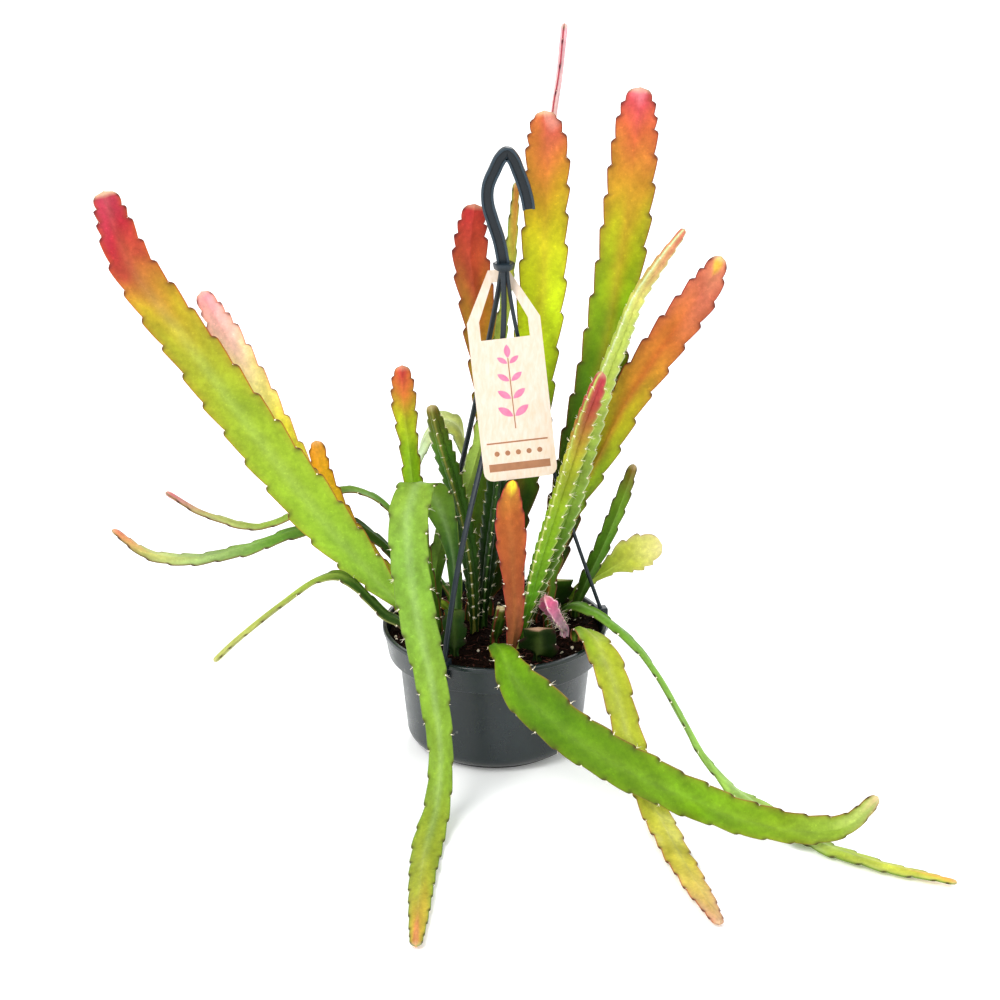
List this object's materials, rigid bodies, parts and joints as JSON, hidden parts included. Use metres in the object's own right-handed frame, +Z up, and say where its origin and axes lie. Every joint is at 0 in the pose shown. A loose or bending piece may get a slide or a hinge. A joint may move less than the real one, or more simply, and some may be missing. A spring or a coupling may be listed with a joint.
{
  "type": "potted fishbone cactus",
  "caption": "Fishbone cactus with long toothed strap stems in a charcoal hanging pot with its plastic hanger and card tag, standing on its base.",
  "frame": {"origin": "centre of the pot's underside, at the level it stands on", "axes": "+Z up along the pot's axis, -Y towards the viewer of the front, +X to their right"},
  "size_m": [0.5522, 0.366, 0.4871],
  "materials": {
    "pot_plastic": "satin",
    "hanger_plastic": "satin",
    "potting_mix": "rough",
    "tag_card": "satin",
    "stem_skin_green": "waxy",
    "stem_skin_pale": "waxy",
    "stem_skin_dark": "waxy",
    "stem_skin_red": "waxy",
    "stem_skin_pink": "waxy"
  },
  "bodies": {
    "root": {"pot": "pot_plastic", "soil": "potting_mix", "hanger": "hanger_plastic", "hang_tag": "tag_card", "stem_tall_left": "stem_skin_green", "stem_left_behind": "stem_skin_green", "stem_left_small_behind": "stem_skin_green", "stem_left_narrow": "stem_skin_pink", "stem_left_curled": "stem_skin_red", "stem_left_straight": "stem_skin_pale", "stem_front_drooping": "stem_skin_pale", "stem_left_short": "stem_skin_green", "stem_mid_ribbed": "stem_skin_dark", "stem_mid_dark": "stem_skin_dark", "stem_back_pale": "stem_skin_pale", "stem_mid_edge_on": "stem_skin_pale", "stem_back_red": "stem_skin_red", "stem_back_centre_tall": "stem_skin_green", "stem_back_thin": "stem_skin_pink", "stem_right_tall": "stem_skin_green", "stem_right_three_angled": "stem_skin_pale", "stem_right_red": "stem_skin_red", "stem_right_small_ribbed": "stem_skin_red", "stem_front_orange": "stem_skin_red", "stem_right_short": "stem_skin_green", "stem_right_pale_oval": "stem_skin_pale", "stem_right_long_thin": "stem_skin_green", "stem_front_right_broad": "stem_skin_green", "stem_front_right_second": "stem_skin_green", "stem_right_flat_basal": "stem_skin_dark", "stem_pink_shoot": "stem_skin_pink", "stub_pale_top": "stem_skin_dark", "stub_front": "stem_skin_dark", "stub_front_left": "stem_skin_dark"}
  },
  "joints": []
}
